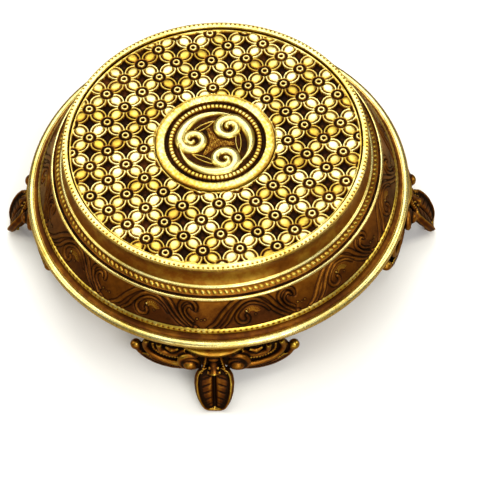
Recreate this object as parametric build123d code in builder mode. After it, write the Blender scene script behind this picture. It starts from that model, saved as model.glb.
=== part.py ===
from build123d import *
import math
import os

# Footed brass spice box with a lift-off ornamental lid, seven loose cups and a small spoon.
# Millimetres, +Z up, origin on the ground under the centre of the box.

# ---- driving dimensions ----
BOX_HEIGHT = 73.0  # ground to the top edge of the lid
LID_RIM_R = 95.0  # rolled rim of the lid, the widest round part
LID_TOP_R = 74.2  # outside of the beaded top edge
SEAT_Z = 34.6  # top of the pan flange, where the lid rests
FLANGE_R = 92.8
PAN_R = 86.0  # outside of the pan wall
PAN_WALL = 1.6
PAN_FLOOR_Z = 15.2
FOOT_REACH = 108.8  # toe of a foot, from the centre
FOOT_COUNT = 4
RING_CUP_COUNT = 6

# ---- fits ----
TOUCH = 0.05  # gap left between faces that rest on each other
REGISTER_GAP = 0.6  # lid wall over the pan collar, all round
INLAY_GAP = 0.3  # lattice panel and medallion in their seats
SCREW_GAP = 0.02

# ---- lid ----
LID_WALL = 2.0
TOP_OPENING_R = 71.2
LEDGE_R = 66.0  # inner edge of the ledge that carries the lattice panel
LEDGE_Z = 68.0
LEDGE_THICK = 1.8
COVE_FOOT_R = 75.5
COVE_FOOT_Z = 61.1
COVE_DEPTH = 1.2
FRIEZE_TOP_R = 81.0
FRIEZE_TOP_Z = 57.6
FRIEZE_FOOT_R = 88.0
FRIEZE_FOOT_Z = 42.7
LOW_BEAD_FOOT_R = 88.9
LOW_BEAD_FOOT_Z = 40.1
RIM_ROLL_R = 2.1
ROLL_JOIN_ANGLE = 144.0  # where the small cove runs into the rolled rim
EDGE_BEVEL = 0.8
EDGE_LIP = 1.8  # height of the upright lip of the top edge
UPPER_RIDGE = (1.1, -0.9)  # outward and up from the foot of the cove
FRIEZE_RIDGE = (1.8, 0.6)  # width and height of the ridge over the frieze
RIDGE_SAG = 0.4
BEAD_SAG = 0.5
LID_BOTTOM_Z = SEAT_Z + TOUCH
LID_BORE_R = PAN_R + REGISTER_GAP

# ---- lattice panel and medallion ----
PANEL_THICK = 3.5
VOID_DEPTH = 2.4
LATTICE_STEP = 8.7  # between neighbouring rows of flowers and voids
LATTICE_TURN = 4.0  # degrees
VOID_REACH = 4.75  # centre to tip of a four-pointed void
VOID_WAIST = 1.55  # centre to the middle of its hollow side
MEDALLION_R = 28.9
MEDALLION_SEAT_DEPTH = 2.3
MEDALLION_FLAT_R = 23.7
TICK_RING_OUT_R = 21.9
TICK_RING_IN_R = 19.4
BOWL_R = 18.9  # sunken middle of the medallion
BOWL_DEPTH = 2.2
TICK_RING_DROP = 0.6  # the milled ring lies this far under the flat ring
GROOVE_DROP = 1.3
GROOVE_R = 22.5
ARM_WIDTH = 3.7
ARM_HEIGHT = 1.8
VOLUTE_R = 5.2  # centre line of a curled arm end
VOLUTE_CENTRE_R = 10.4
VOLUTE_ANGLE = 51.4
CURL_START = -30  # degrees from the volute's own direction
CURL_SWEEP = 270
TAIL_START = -82
TAIL_SWEEP = 80
STUD_R = 3.0
STUD_HEAD_R = 5.0
STUD_HEAD_THICK = 0.9
STUD_HEAD_BEVEL = 1.2
MEDALLION_BEVEL = 0.5

# ---- pan ----
FLANGE_THICK = 1.6
COLLAR_TOP_Z = 39.0
WALL_FOOT_Z = 25.5  # the straight wall ends here and turns in to the floor
FLOOR_R = 76.0
PAN_INNER_FLOOR_R = 75.0
TURN_SAG = 0.8  # outward bow of the turned-in part
FLANGE_BEVEL = 0.4

# ---- cups ----
CUP_HEIGHT = 30.0
CUP_RIM_R = 25.6
CUP_TOP_R = 24.3
CUP_FOOT_R = 18.0
CUP_WALL = 0.9
CUP_RIM_ROLL = 0.75
CUP_FOOT_BEVEL = 2.5
CUP_INNER_BEVEL = 2.0
CUP_RING_R = 52.6  # centres of the outer cups
CUP_RING_START = 30.0

# ---- spoon ----
SPOON_BOWL_R = 7.5
SPOON_BOWL_DEPTH = 4.0
SPOON_WALL = 0.8
SPOON_LEAN = 38.8  # degrees above the floor
SPOON_BOWL_X = -7.6
SPOON_HANDLE = 45.0
SPOON_HANDLE_W = 2.8
SPOON_HANDLE_T = 1.0
SPOON_END_R = 2.2
SPOON_TAPER = 0.4  # each side, from bowl to end
SPOON_ROOT = 0.3  # the stem starts this far outside the bowl's inner edge
SPOON_FLOOR_GAP = 0.1

# ---- feet ----
FOOT_TOP_Z = SEAT_Z - FLANGE_THICK - TOUCH
KNEE_OUT = 96.5  # outermost point of the knee
KNEE_TURN_Z = 31.5
KNEE_UNDER_Z = 29.5
KNEE_CAP_R = 23.0  # round cap over the knee
KNEE_CAP_THICK = 3.0
WAIST_R = 95.4
WAIST_Z = 26.0
BUD_R = 98.6  # where the leaf starts, under the waist
BUD_Z = 22.4
LEAF_BELLY_R = 104.7
LEAF_BELLY_Z = 13.3
TOE_Z = 3.0  # height of the outermost point of the toe
TOE_TURN = (108.5, 1.0)  # rounds the toe under to its sole
SOLE_OUT = 107.6
SOLE_IN = 103.6
SOLE_HALF_W = 2.6
LEG_BACK_R = 85.0  # hidden start of the leg, trimmed to the pan's wall
LEG_BACK_Z = 17.5
LEG_ARCH_R = 98.5
LEG_ARCH_Z = 10.2
COLUMN_HALF_W = 5.5  # the leg between knee and leaf
LEAF_HALF_W = 9.6
LEAF_WIDEST_Z = 15.0
LEAF_SHOULDER = (19.6, 8.4)  # height and half width on the way from column to leaf
LEAF_TAPER = (6.2, 7.4)
BRACKET_HALF_ANGLE = 12.5
BRACKET_R = 91.0
BRACKET_FOOT_Z = 20.0
BRACKET_CHAMFER = 2.0
WING_HALF_ANGLE = 23.0
WING_R = 90.5
WING_THICK = 3.0
WING_TOP_Z = 30.5
WING_FOOT_Z = 15.5
WING_HEEL_Z = 25.5  # above this height the wing is filled in to the pan's wall
WING_TIP_R = 4.4
WING_TIP_Z = 22.0
VOLUTE_BALL_R = 5.4
VOLUTE_BALL_SIDE = 12.0
VOLUTE_BALL_OUT = 94.8
VOLUTE_BALL_Z = 23.4

# ---- foot screws ----
SCREW_ANGLE = 7.0  # each side of the foot's middle
SCREW_Z = 29.0
SCREW_R = 1.5
SCREW_HEAD_R = 2.8
SCREW_HEAD_THICK = 1.4
SCREW_GRIP = 3.6  # length inside the foot
SCREW_SLOT_W = 0.7
SCREW_SLOT_DEPTH = 0.6
SCREW_TIP_ROOM = 0.3  # past the end of the shank in its blind hole
SCREW_CLEARANCE = 0.1  # round the shank in the pan's wall
SCREW_HEAD_TAPER = 20

os.makedirs("parts", exist_ok=True)


def polar(radius, degrees):
    """Point at a distance and a direction from the centre."""
    angle = math.radians(degrees)
    return radius * math.cos(angle), radius * math.sin(angle)


def radial_plane(degrees):
    """Upright plane through the axis: local x points outward, local y up."""
    x, y = polar(1, degrees)
    return Plane(origin=(0, 0, 0), x_dir=(x, y, 0), z_dir=(y, -x, 0))


def outward_plane(degrees, radius, height, side=0.0):
    """Plane that faces outward at a place on the wall: local x up, local z outward."""
    x, y = polar(1, degrees)
    origin = (radius * x - side * y, radius * y + side * x, height)
    return Plane(origin=origin, x_dir=(0, 0, 1), z_dir=(x, y, 0))


def save(piece, name):
    piece.part.label = name
    export_step(piece.part, f"parts/{name}.step")


# ---------------------------------------------------------------- lid shell
CEILING_Z = LEDGE_Z - LEDGE_THICK
ROLL_CENTRE_R = LID_RIM_R - RIM_ROLL_R
ROLL_CENTRE_Z = LID_BOTTOM_Z + RIM_ROLL_R
JOIN_X, JOIN_Z = polar(RIM_ROLL_R, ROLL_JOIN_ANGLE)
ROLL_JOIN = (ROLL_CENTRE_R + JOIN_X, ROLL_CENTRE_Z + JOIN_Z)
RIDGE_FOOT = (COVE_FOOT_R + UPPER_RIDGE[0], COVE_FOOT_Z + UPPER_RIDGE[1])
BEAD_FOOT = (FRIEZE_TOP_R - FRIEZE_RIDGE[0], FRIEZE_TOP_Z)
FRIEZE_TOP = (FRIEZE_TOP_R, FRIEZE_TOP_Z - FRIEZE_RIDGE[1])

with BuildPart() as lid_shell:
    with BuildSketch(Plane.XZ):
        with BuildLine():
            # beaded top edge and the plain cove under it
            Line((TOP_OPENING_R, LEDGE_Z), (TOP_OPENING_R, BOX_HEIGHT))
            Line((TOP_OPENING_R, BOX_HEIGHT), (LID_TOP_R - EDGE_BEVEL, BOX_HEIGHT))
            Line((LID_TOP_R - EDGE_BEVEL, BOX_HEIGHT), (LID_TOP_R, BOX_HEIGHT - EDGE_BEVEL))
            Line((LID_TOP_R, BOX_HEIGHT - EDGE_BEVEL), (LID_TOP_R, BOX_HEIGHT - EDGE_LIP))
            SagittaArc((LID_TOP_R, BOX_HEIGHT - EDGE_LIP), (COVE_FOOT_R, COVE_FOOT_Z), -COVE_DEPTH)
            # upper beaded band, its two ridges and the sloping frieze
            SagittaArc((COVE_FOOT_R, COVE_FOOT_Z), RIDGE_FOOT, RIDGE_SAG)
            SagittaArc(RIDGE_FOOT, BEAD_FOOT, BEAD_SAG)
            SagittaArc(BEAD_FOOT, FRIEZE_TOP, RIDGE_SAG)
            Line(FRIEZE_TOP, (FRIEZE_FOOT_R, FRIEZE_FOOT_Z))
            # lower beaded band, small cove and rolled rim
            SagittaArc((FRIEZE_FOOT_R, FRIEZE_FOOT_Z), (LOW_BEAD_FOOT_R, LOW_BEAD_FOOT_Z), BEAD_SAG)
            SagittaArc((LOW_BEAD_FOOT_R, LOW_BEAD_FOOT_Z), ROLL_JOIN, -BEAD_SAG)
            rolled = ThreePointArc(ROLL_JOIN, (LID_RIM_R, ROLL_CENTRE_Z), (ROLL_CENTRE_R, LID_BOTTOM_Z))
            # underside and the inside of the lid, back up to the panel's ledge
            Polyline(
                rolled @ 1,
                (LID_BORE_R, LID_BOTTOM_Z),
                (LID_BORE_R, LOW_BEAD_FOOT_Z),
                (FRIEZE_FOOT_R - LID_WALL, FRIEZE_FOOT_Z),
                (FRIEZE_TOP[0] - LID_WALL, FRIEZE_TOP[1]),
                (COVE_FOOT_R - LID_WALL, COVE_FOOT_Z - LID_WALL / 2),
                (TOP_OPENING_R, CEILING_Z),
                (LEDGE_R, CEILING_Z),
                (LEDGE_R, LEDGE_Z),
                (TOP_OPENING_R, LEDGE_Z),
            )
        make_face()
    revolve(axis=Axis.Z)
save(lid_shell, "lid_shell")


# ---------------------------------------------------------------- lattice panel
PANEL_R = TOP_OPENING_R - INLAY_GAP
PANEL_BOTTOM_Z = LEDGE_Z + TOUCH
PANEL_TOP_Z = LEDGE_Z + PANEL_THICK
MEDALLION_SEAT_Z = PANEL_TOP_Z - MEDALLION_SEAT_DEPTH
PANEL_EDGE_WEB = 0.8
EMPTY_CENTRES = [
    (i * LATTICE_STEP, j * LATTICE_STEP)
    for i in range(-9, 10)
    for j in range(-9, 10)
    if (i + j) % 2 == 1 and MEDALLION_R < LATTICE_STEP * math.hypot(i, j) < TOP_OPENING_R + VOID_WAIST
]


def void_outline(x, y):
    """Four tips joined by sides that bow in towards the void's middle."""
    tips = [polar(VOID_REACH, LATTICE_TURN + 90 * k) for k in range(5)]
    waists = [polar(VOID_WAIST * math.sqrt(2), LATTICE_TURN + 45 + 90 * k) for k in range(4)]
    cx, cy = polar(math.hypot(x, y), LATTICE_TURN + math.degrees(math.atan2(y, x)))
    for k in range(4):
        ThreePointArc(
            (cx + tips[k][0], cy + tips[k][1]),
            (cx + waists[k][0], cy + waists[k][1]),
            (cx + tips[k + 1][0], cy + tips[k + 1][1]),
        )


with BuildPart() as lid_lattice_panel:
    with BuildSketch(Plane.XY.offset(PANEL_BOTTOM_Z)):
        Circle(PANEL_R)
    extrude(amount=PANEL_TOP_Z - PANEL_BOTTOM_Z)
    with BuildSketch(Plane.XY.offset(PANEL_TOP_Z)):
        for void_x, void_y in EMPTY_CENTRES:
            with BuildLine():
                void_outline(void_x, void_y)
            make_face()
        Circle(PANEL_R - PANEL_EDGE_WEB, mode=Mode.INTERSECT)
        Circle(MEDALLION_R + INLAY_GAP + PANEL_EDGE_WEB, mode=Mode.SUBTRACT)
    extrude(amount=-VOID_DEPTH, mode=Mode.SUBTRACT)
    with BuildSketch(Plane.XY.offset(PANEL_TOP_Z)):
        Circle(MEDALLION_R + INLAY_GAP)
    extrude(amount=-MEDALLION_SEAT_DEPTH, mode=Mode.SUBTRACT)
    with BuildSketch(Plane.XY.offset(PANEL_TOP_Z)):
        Circle(STUD_R + TOUCH)
    extrude(amount=-PANEL_THICK, mode=Mode.SUBTRACT)
save(lid_lattice_panel, "lid_lattice_panel")


# ---------------------------------------------------------------- medallion
with BuildPart() as lid_medallion:
    with BuildSketch(Plane.XZ):
        with BuildLine():
            Polyline(
                (0, BOX_HEIGHT - BOWL_DEPTH),
                (BOWL_R, BOX_HEIGHT - BOWL_DEPTH),
                (TICK_RING_IN_R, BOX_HEIGHT - TICK_RING_DROP),
                (TICK_RING_OUT_R, BOX_HEIGHT - TICK_RING_DROP),
                (GROOVE_R, BOX_HEIGHT - GROOVE_DROP),
                (MEDALLION_FLAT_R, BOX_HEIGHT),
                (MEDALLION_R - MEDALLION_BEVEL, BOX_HEIGHT),
                (MEDALLION_R, BOX_HEIGHT - MEDALLION_BEVEL),
                (MEDALLION_R, MEDALLION_SEAT_Z + TOUCH),
                (STUD_R, MEDALLION_SEAT_Z + TOUCH),
                (STUD_R, PANEL_BOTTOM_Z - TOUCH),
                (STUD_HEAD_R, PANEL_BOTTOM_Z - TOUCH),
                (STUD_HEAD_R - STUD_HEAD_BEVEL, PANEL_BOTTOM_Z - TOUCH - STUD_HEAD_THICK),
                (0, PANEL_BOTTOM_Z - TOUCH - STUD_HEAD_THICK),
                close=True,
            )
        make_face()
    revolve(axis=Axis.Z)
    # three curled arms that chase each other round the middle
    with BuildSketch(Plane.XY.offset(BOX_HEIGHT - BOWL_DEPTH)):
        for k in range(3):
            volute_angle = VOLUTE_ANGLE + 120 * k
            cx, cy = polar(VOLUTE_CENTRE_R, volute_angle)
            curl = CenterArc((cx, cy), VOLUTE_R, volute_angle + CURL_START, CURL_SWEEP, mode=Mode.PRIVATE)
            tail_r = VOLUTE_CENTRE_R + VOLUTE_R
            tail = CenterArc((0, 0), tail_r, volute_angle + TAIL_START, TAIL_SWEEP, mode=Mode.PRIVATE)
            SlotArc(arc=curl, height=ARM_WIDTH)
            SlotArc(arc=tail, height=ARM_WIDTH)
    extrude(amount=ARM_HEIGHT)
save(lid_medallion, "lid_medallion")


# ---------------------------------------------------------------- base pan
PAN_BORE_R = PAN_R - PAN_WALL
PAN_UNDER_Z = PAN_FLOOR_Z - PAN_WALL
SCREW_ANGLES = [
    90 * foot + side * SCREW_ANGLE for foot in range(FOOT_COUNT) for side in (-1, 1)
]

with BuildPart() as base_pan:
    with BuildSketch(Plane.XZ):
        with BuildLine():
            Line((0, PAN_UNDER_Z), (FLOOR_R, PAN_UNDER_Z))
            SagittaArc((FLOOR_R, PAN_UNDER_Z), (PAN_R, WALL_FOOT_Z), -TURN_SAG)
            Polyline(
                (PAN_R, WALL_FOOT_Z),
                (PAN_R, SEAT_Z - FLANGE_THICK),
                (FLANGE_R - FLANGE_BEVEL, SEAT_Z - FLANGE_THICK),
                (FLANGE_R, SEAT_Z - FLANGE_THICK + FLANGE_BEVEL),
                (FLANGE_R, SEAT_Z - FLANGE_BEVEL),
                (FLANGE_R - FLANGE_BEVEL, SEAT_Z),
                (PAN_R, SEAT_Z),
                (PAN_R, COLLAR_TOP_Z - FLANGE_BEVEL),
                (PAN_R - FLANGE_BEVEL, COLLAR_TOP_Z),
                (PAN_BORE_R, COLLAR_TOP_Z),
                (PAN_BORE_R, WALL_FOOT_Z),
            )
            SagittaArc((PAN_BORE_R, WALL_FOOT_Z), (PAN_INNER_FLOOR_R, PAN_FLOOR_Z), TURN_SAG)
            Line((PAN_INNER_FLOOR_R, PAN_FLOOR_Z), (0, PAN_FLOOR_Z))
            Line((0, PAN_FLOOR_Z), (0, PAN_UNDER_Z))
        make_face()
    revolve(axis=Axis.Z)
    for screw_angle in SCREW_ANGLES:
        with Locations(outward_plane(screw_angle, PAN_R - PAN_WALL / 2, SCREW_Z)):
            Cylinder(SCREW_R + SCREW_CLEARANCE, 3 * PAN_WALL, mode=Mode.SUBTRACT)
save(base_pan, "base_pan")


# ---------------------------------------------------------------- feet
def build_foot(direction, name):
    """Cast foot: knee under the flange, bracket and scroll wings on the wall, leaf-shaped toe."""
    side_view = radial_plane(direction)
    with BuildPart() as foot:
        # leg and toe, seen from the side
        with BuildSketch(side_view):
            with BuildLine():
                Line((LEG_BACK_R, FOOT_TOP_Z), (KNEE_OUT - 1, FOOT_TOP_Z))
                ThreePointArc(
                    (KNEE_OUT - 1, FOOT_TOP_Z), (KNEE_OUT, KNEE_TURN_Z), (KNEE_OUT - 1, KNEE_UNDER_Z)
                )
                ThreePointArc((KNEE_OUT - 1, KNEE_UNDER_Z), (WAIST_R, WAIST_Z), (BUD_R, BUD_Z))
                ThreePointArc((BUD_R, BUD_Z), (LEAF_BELLY_R, LEAF_BELLY_Z), (FOOT_REACH, TOE_Z))
                ThreePointArc((FOOT_REACH, TOE_Z), TOE_TURN, (SOLE_OUT, 0))
                Line((SOLE_OUT, 0), (SOLE_IN, 0))
                ThreePointArc((SOLE_IN, 0), (LEG_ARCH_R, LEG_ARCH_Z), (LEG_BACK_R, LEG_BACK_Z))
                Line((LEG_BACK_R, LEG_BACK_Z), (LEG_BACK_R, FOOT_TOP_Z))
            make_face()
        extrude(amount=LEAF_HALF_W, both=True)
        # the same, seen from the front: a narrow column over a rounded leaf
        with BuildSketch(outward_plane(direction, LEG_BACK_R - 1, 0)):
            with BuildLine():
                Line((0, -SOLE_HALF_W), (0, SOLE_HALF_W))
                for side in (-1, 1):
                    ThreePointArc(
                        (0, side * SOLE_HALF_W),
                        (LEAF_TAPER[0], side * LEAF_TAPER[1]),
                        (LEAF_WIDEST_Z, side * LEAF_HALF_W),
                    )
                    ThreePointArc(
                        (LEAF_WIDEST_Z, side * LEAF_HALF_W),
                        (LEAF_SHOULDER[0], side * LEAF_SHOULDER[1]),
                        (BUD_Z, side * COLUMN_HALF_W),
                    )
                    Line((BUD_Z, side * COLUMN_HALF_W), (FOOT_TOP_Z, side * COLUMN_HALF_W))
                Line((FOOT_TOP_Z, -COLUMN_HALF_W), (FOOT_TOP_Z, COLUMN_HALF_W))
            make_face()
        extrude(amount=2 * (FOOT_REACH - LEG_BACK_R), mode=Mode.INTERSECT)
        # round cap over the knee
        cap_x, cap_y = polar(KNEE_OUT - KNEE_CAP_R, direction)
        with BuildSketch(Plane.XY.offset(FOOT_TOP_Z - KNEE_CAP_THICK)):
            with Locations((cap_x, cap_y)):
                Circle(KNEE_CAP_R)
        extrude(amount=KNEE_CAP_THICK)
        # bracket that follows the pan's wall
        with BuildSketch(radial_plane(direction - BRACKET_HALF_ANGLE)):
            with BuildLine():
                Polyline(
                    (PAN_R - 1, FOOT_TOP_Z),
                    (BRACKET_R, FOOT_TOP_Z),
                    (BRACKET_R, BRACKET_FOOT_Z + BRACKET_CHAMFER),
                    (BRACKET_R - BRACKET_CHAMFER, BRACKET_FOOT_Z),
                    (PAN_R - 1, BRACKET_FOOT_Z),
                    close=True,
                )
            make_face()
        revolve(axis=Axis.Z, revolution_arc=2 * BRACKET_HALF_ANGLE)
        # wings: filled in to the wall above, a free-hanging apron below
        with BuildSketch(radial_plane(direction - WING_HALF_ANGLE)):
            with BuildLine():
                Polyline(
                    (PAN_R - 1, WING_TOP_Z),
                    (WING_R, WING_TOP_Z),
                    (WING_R, WING_FOOT_Z),
                    (WING_R - WING_THICK, WING_FOOT_Z),
                    (WING_R - WING_THICK, WING_HEEL_Z),
                    (PAN_R - 1, WING_HEEL_Z),
                    close=True,
                )
            make_face()
        revolve(axis=Axis.Z, revolution_arc=2 * WING_HALF_ANGLE)
        # scroll ends of the wings
        for side in (-1, 1):
            tip_angle = direction + side * WING_HALF_ANGLE
            with Locations(outward_plane(tip_angle, WING_R - WING_THICK / 2, WING_TIP_Z)):
                Cylinder(WING_TIP_R, WING_THICK)
        # pair of ball volutes beside the column
        for side in (-1, 1):
            with Locations(
                outward_plane(direction, VOLUTE_BALL_OUT, VOLUTE_BALL_Z, side * VOLUTE_BALL_SIDE)
            ):
                Sphere(VOLUTE_BALL_R)
        # room for the pan, and blind holes for the screws
        with BuildSketch(Plane.XY):
            Circle(PAN_R + TOUCH)
        extrude(amount=BOX_HEIGHT, mode=Mode.SUBTRACT)
        for side in (-1, 1):
            with Locations(outward_plane(direction + side * SCREW_ANGLE, PAN_R, SCREW_Z)):
                Cylinder(SCREW_R + SCREW_GAP, 2 * (SCREW_GRIP + SCREW_TIP_ROOM), mode=Mode.SUBTRACT)
    save(foot, name)


build_foot(-90, "foot_front")
build_foot(0, "foot_right")
build_foot(90, "foot_back")
build_foot(180, "foot_left")


# ---------------------------------------------------------------- foot screws
HEAD_SEAT_R = PAN_BORE_R - 0.1
SHANK_LENGTH = PAN_R + SCREW_GRIP - HEAD_SEAT_R

with BuildPart() as foot_screws:
    for screw_angle in SCREW_ANGLES:
        head_plane = outward_plane(screw_angle, HEAD_SEAT_R, SCREW_Z)
        with BuildSketch(head_plane):
            Circle(SCREW_HEAD_R)
        extrude(amount=-SCREW_HEAD_THICK, taper=SCREW_HEAD_TAPER)
        with BuildSketch(head_plane):
            Circle(SCREW_R)
        extrude(amount=SHANK_LENGTH)
        with BuildSketch(outward_plane(screw_angle, HEAD_SEAT_R - SCREW_HEAD_THICK, SCREW_Z)):
            Rectangle(3 * SCREW_HEAD_R, SCREW_SLOT_W)
        extrude(amount=SCREW_SLOT_DEPTH, mode=Mode.SUBTRACT)
save(foot_screws, "foot_screws")


# ---------------------------------------------------------------- spice cups
CUP_BASE_Z = PAN_FLOOR_Z + TOUCH
CUP_TOP_Z = CUP_BASE_Z + CUP_HEIGHT
CUP_FLOOR_Z = CUP_BASE_Z + CUP_WALL


def build_cup(x, y, name):
    """Open cup: flat foot, flared wall and an outward-rolled rim."""
    roll_x = x + CUP_RIM_R - CUP_RIM_ROLL
    with BuildPart() as cup:
        with BuildSketch(Plane.XZ.offset(-y)):
            with BuildLine():
                Polyline(
                    (x, CUP_BASE_Z),
                    (x + CUP_FOOT_R - CUP_FOOT_BEVEL, CUP_BASE_Z),
                    (x + CUP_FOOT_R, CUP_BASE_Z + CUP_FOOT_BEVEL),
                    (x + CUP_TOP_R, CUP_TOP_Z - 2 * CUP_RIM_ROLL),
                    (x + CUP_TOP_R, CUP_TOP_Z),
                    (x + CUP_TOP_R - CUP_WALL, CUP_TOP_Z),
                    (x + CUP_TOP_R - CUP_WALL, CUP_TOP_Z - 2 * CUP_RIM_ROLL),
                    (x + CUP_FOOT_R - CUP_WALL, CUP_FLOOR_Z + CUP_INNER_BEVEL),
                    (x + CUP_FOOT_R - CUP_WALL - CUP_INNER_BEVEL, CUP_FLOOR_Z),
                    (x, CUP_FLOOR_Z),
                    close=True,
                )
            make_face()
            with Locations((roll_x, CUP_TOP_Z - CUP_RIM_ROLL)):
                Circle(CUP_RIM_ROLL)
        revolve(axis=Axis((x, y, 0), (0, 0, 1)))
    save(cup, name)


build_cup(0, 0, "spice_cup_centre")
for n in range(RING_CUP_COUNT):
    cup_x, cup_y = polar(CUP_RING_R, CUP_RING_START + 360 / RING_CUP_COUNT * n)
    build_cup(cup_x, cup_y, f"spice_cup_{n + 1}")


# ---------------------------------------------------------------- spoon
LEAN_X, LEAN_Z = polar(1, SPOON_LEAN)
BOWL_SPHERE_R = (SPOON_BOWL_R**2 + SPOON_BOWL_DEPTH**2) / (2 * SPOON_BOWL_DEPTH)
BOWL_SPHERE_UP = BOWL_SPHERE_R - SPOON_BOWL_DEPTH
SPOON_BOWL_Z = CUP_FLOOR_Z + SPOON_FLOOR_GAP + BOWL_SPHERE_R + SPOON_WALL - BOWL_SPHERE_UP * LEAN_X
BOWL_OUT_R = BOWL_SPHERE_R + SPOON_WALL
BOWL_OUT_RIM = math.sqrt(BOWL_OUT_R**2 - BOWL_SPHERE_UP**2)

spoon_top_view = Plane(
    origin=(SPOON_BOWL_X, 0, SPOON_BOWL_Z), x_dir=(LEAN_X, 0, LEAN_Z), z_dir=(-LEAN_Z, 0, LEAN_X)
)
spoon_side_view = Plane(
    origin=(SPOON_BOWL_X, 0, SPOON_BOWL_Z), x_dir=(LEAN_X, 0, LEAN_Z), z_dir=(0, -1, 0)
)
with BuildPart() as spice_spoon:
    with BuildSketch(spoon_side_view):
        with BuildLine():
            Line((0, -SPOON_BOWL_DEPTH - SPOON_WALL), (0, -SPOON_BOWL_DEPTH))
            RadiusArc((0, -SPOON_BOWL_DEPTH), (SPOON_BOWL_R, 0), -BOWL_SPHERE_R)
            Line((SPOON_BOWL_R, 0), (BOWL_OUT_RIM, 0))
            RadiusArc((BOWL_OUT_RIM, 0), (0, -SPOON_BOWL_DEPTH - SPOON_WALL), BOWL_OUT_R)
        make_face()
    revolve(axis=Axis((SPOON_BOWL_X, 0, SPOON_BOWL_Z), (-LEAN_Z, 0, LEAN_X)))
    with BuildSketch(spoon_top_view):
        with BuildLine():
            Polyline(
                (SPOON_BOWL_R + SPOON_ROOT, -SPOON_HANDLE_W / 2),
                (SPOON_BOWL_R + SPOON_HANDLE, -SPOON_HANDLE_W / 2 + SPOON_TAPER),
                (SPOON_BOWL_R + SPOON_HANDLE, SPOON_HANDLE_W / 2 - SPOON_TAPER),
                (SPOON_BOWL_R + SPOON_ROOT, SPOON_HANDLE_W / 2),
                close=True,
            )
        make_face()
        with Locations((SPOON_BOWL_R + SPOON_HANDLE - SPOON_END_R, 0)):
            Circle(SPOON_END_R)
    extrude(amount=-SPOON_HANDLE_T)
save(spice_spoon, "spice_spoon")
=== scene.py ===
import math

import bmesh
import bpy
import numpy as np
from mathutils import Matrix, Vector


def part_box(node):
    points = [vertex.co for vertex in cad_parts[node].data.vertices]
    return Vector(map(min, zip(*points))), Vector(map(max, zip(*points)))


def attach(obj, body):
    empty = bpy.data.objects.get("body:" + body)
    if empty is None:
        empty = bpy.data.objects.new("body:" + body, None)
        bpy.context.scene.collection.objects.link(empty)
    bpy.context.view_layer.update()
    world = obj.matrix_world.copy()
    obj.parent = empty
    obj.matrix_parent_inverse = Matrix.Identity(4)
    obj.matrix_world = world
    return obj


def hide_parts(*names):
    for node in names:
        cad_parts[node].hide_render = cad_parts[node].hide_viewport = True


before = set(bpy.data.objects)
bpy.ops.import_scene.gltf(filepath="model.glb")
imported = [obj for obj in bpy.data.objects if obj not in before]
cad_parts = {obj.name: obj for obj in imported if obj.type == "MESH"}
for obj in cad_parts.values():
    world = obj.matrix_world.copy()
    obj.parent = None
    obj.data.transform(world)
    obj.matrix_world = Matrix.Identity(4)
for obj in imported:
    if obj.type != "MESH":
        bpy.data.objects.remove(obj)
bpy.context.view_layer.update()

# A footed brass spice box. Shapes are worked out in millimetres and written to meshes in metres.
MM = 0.001
TAU = 2 * math.pi


def corner_mm(node):
    """Lowest and highest corners of a CAD node, in millimetres."""
    low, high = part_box(node)
    return np.array(low) / MM, np.array(high) / MM


# ---- sizes taken from the frame
lid_low, lid_high = corner_mm("lid_shell")
panel_low, panel_high = corner_mm("lid_lattice_panel")
medal_low, medal_high = corner_mm("lid_medallion")
pan_low, pan_high = corner_mm("base_pan")
cup_low, cup_high = corner_mm("spice_cup_centre")

RIM_R = lid_high[0]
LID_TOP = lid_high[2]
LID_BOTTOM = lid_low[2]
PANEL_R = panel_high[0]
PANEL_TOP = panel_high[2]
PANEL_BOTTOM = panel_low[2]
MEDAL_R = medal_high[0]
MEDAL_TOP = medal_high[2]
FLANGE_R = pan_high[0]
PAN_UNDER = pan_low[2]
COLLAR_TOP = pan_high[2]

# lid bands, from the top edge down: radius and height of each edge
OPENING_R = PANEL_R + 0.3
TOP_EDGE_R = RIM_R - 20.8
COVE_FOOT = (RIM_R - 19.5, LID_TOP - 11.9)
BEAD_BAND = ((RIM_R - 18.4, LID_TOP - 12.8), (RIM_R - 15.9, LID_TOP - 15.0))
FRIEZE_EDGE = (RIM_R - 14.7, LID_TOP - 15.3)
FRIEZE_TOP = (RIM_R - 13.7, LID_TOP - 16.4)
FRIEZE_FOOT = (RIM_R - 7.0, LID_TOP - 30.3)
MILL_FOOT = (RIM_R - 6.1, LID_TOP - 32.9)
ROLL_R = 2.1
LID_TURNS = 1760  # steps round the lid, a multiple of the frieze's repeats
FRIEZE_REPEATS = 11
FRIEZE_TURN = 7.0  # degrees
EDGE_DOTS, BEADS, MILL_NICKS = 200, 176, 210  # counts round the lid
DOT_CIRCLE_R, BEAD_CIRCLE_R = 84, 78

# pan
PAN_WALL = 1.6
FLOOR_R = 75  # flat part of the floor
WALL_FOOT_RISE = 11.9  # from the underside to where the wall turns upright

# lattice
LATTICE_STEP = 8.7
LATTICE_TURN = math.radians(4.06)
LATTICE_SHIFT = (0.3, -1.2)
PETAL_HALF = (2.35, 2.75)  # half width and half length
VOID_EDGE = (2.6, 2.36)  # root of x plus root of y: where a void begins and where it is full
BOSS_EDGE = (3.4, 3.1)  # radius
VOID_DEPTH = 2.1
LATTICE_BORDER = 0.9
STUD_HOLE_R = 3.05
SEAT_RISE = 1.2  # from the panel's underside to the medallion's seat

# medallion
MEDAL_TURN = math.radians(4.9)
FLAT_RING_R = 26.4
# radii at which a ring starts, is full, begins to fade and ends
GROOVE_RING = (22.3, 22.8, 24.0, 24.6)
MILL_RING = (20.1, 20.5, 22.3, 22.7)
MILL_TEETH = 66
MIDDLE_EDGE = (20.4, 19.9)  # radii at which the sunk middle begins and is full
MIDDLE_DEPTH = 2.2


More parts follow.
